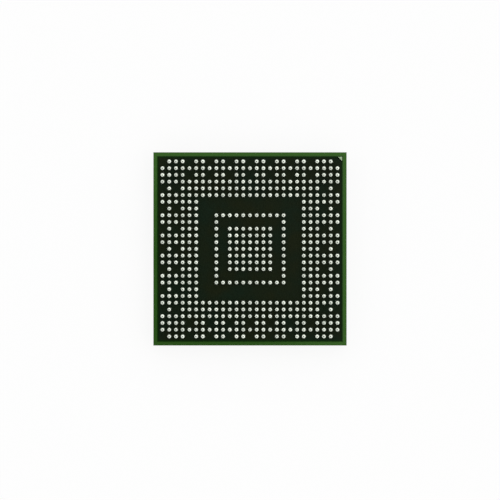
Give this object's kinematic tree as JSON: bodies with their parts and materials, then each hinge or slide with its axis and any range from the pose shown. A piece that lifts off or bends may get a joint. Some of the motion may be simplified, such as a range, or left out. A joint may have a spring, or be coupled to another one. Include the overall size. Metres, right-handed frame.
{
  "type": "ball grid array chip package",
  "caption": "Square flip-chip package, ball side up: a green laminate board with a grid of solder balls, resting on its bare die, with chip capacitors round the die.",
  "frame": {"origin": "centre of the back of the die, which is the face that the package rests on", "axes": "+X and +Y along the package edges, with the corner marks at the +X +Y corner; +Z out of the ball side"},
  "size_m": [0.023, 0.023, 0.0024],
  "materials": {
    "laminate": "sawn glass cloth and resin",
    "copper": "plain",
    "solder_mask": "satin, dark green over copper",
    "plating": "pale plated metal",
    "solder": "reflowed solder",
    "silicon": "ground silicon",
    "underfill_resin": "filled resin, satin",
    "capacitor_ceramic": "matt",
    "tin_end_cap": "satin tin"
  },
  "bodies": {
    "root": {"laminate_board": "laminate", "ball_side_copper": "copper", "die_side_copper": "copper", "ball_side_mask": "solder_mask", "die_side_mask": "solder_mask", "ball_side_corner_mark": "plating", "die_side_corner_mark": "plating", "fiducials": "plating", "silicon_die": "silicon", "underfill": "underfill_resin", "capacitor_solder": "solder", "outer_field_balls": "solder", "ring_balls": "solder", "core_balls": "solder", "capacitor_01_block": "capacitor_ceramic", "capacitor_01_end_caps": "tin_end_cap", "capacitor_02_block": "capacitor_ceramic", "capacitor_02_end_caps": "tin_end_cap", "capacitor_03_block": "capacitor_ceramic", "capacitor_03_end_caps": "tin_end_cap", "capacitor_04_block": "capacitor_ceramic", "capacitor_04_end_caps": "tin_end_cap", "capacitor_05_block": "capacitor_ceramic", "capacitor_05_end_caps": "tin_end_cap", "capacitor_06_block": "capacitor_ceramic", "capacitor_06_end_caps": "tin_end_cap", "capacitor_07_block": "capacitor_ceramic", "capacitor_07_end_caps": "tin_end_cap", "capacitor_08_block": "capacitor_ceramic", "capacitor_08_end_caps": "tin_end_cap", "capacitor_09_block": "capacitor_ceramic", "capacitor_09_end_caps": "tin_end_cap", "capacitor_10_block": "capacitor_ceramic", "capacitor_10_end_caps": "tin_end_cap", "capacitor_11_block": "capacitor_ceramic", "capacitor_11_end_caps": "tin_end_cap", "capacitor_12_block": "capacitor_ceramic", "capacitor_12_end_caps": "tin_end_cap"}
  },
  "joints": []
}
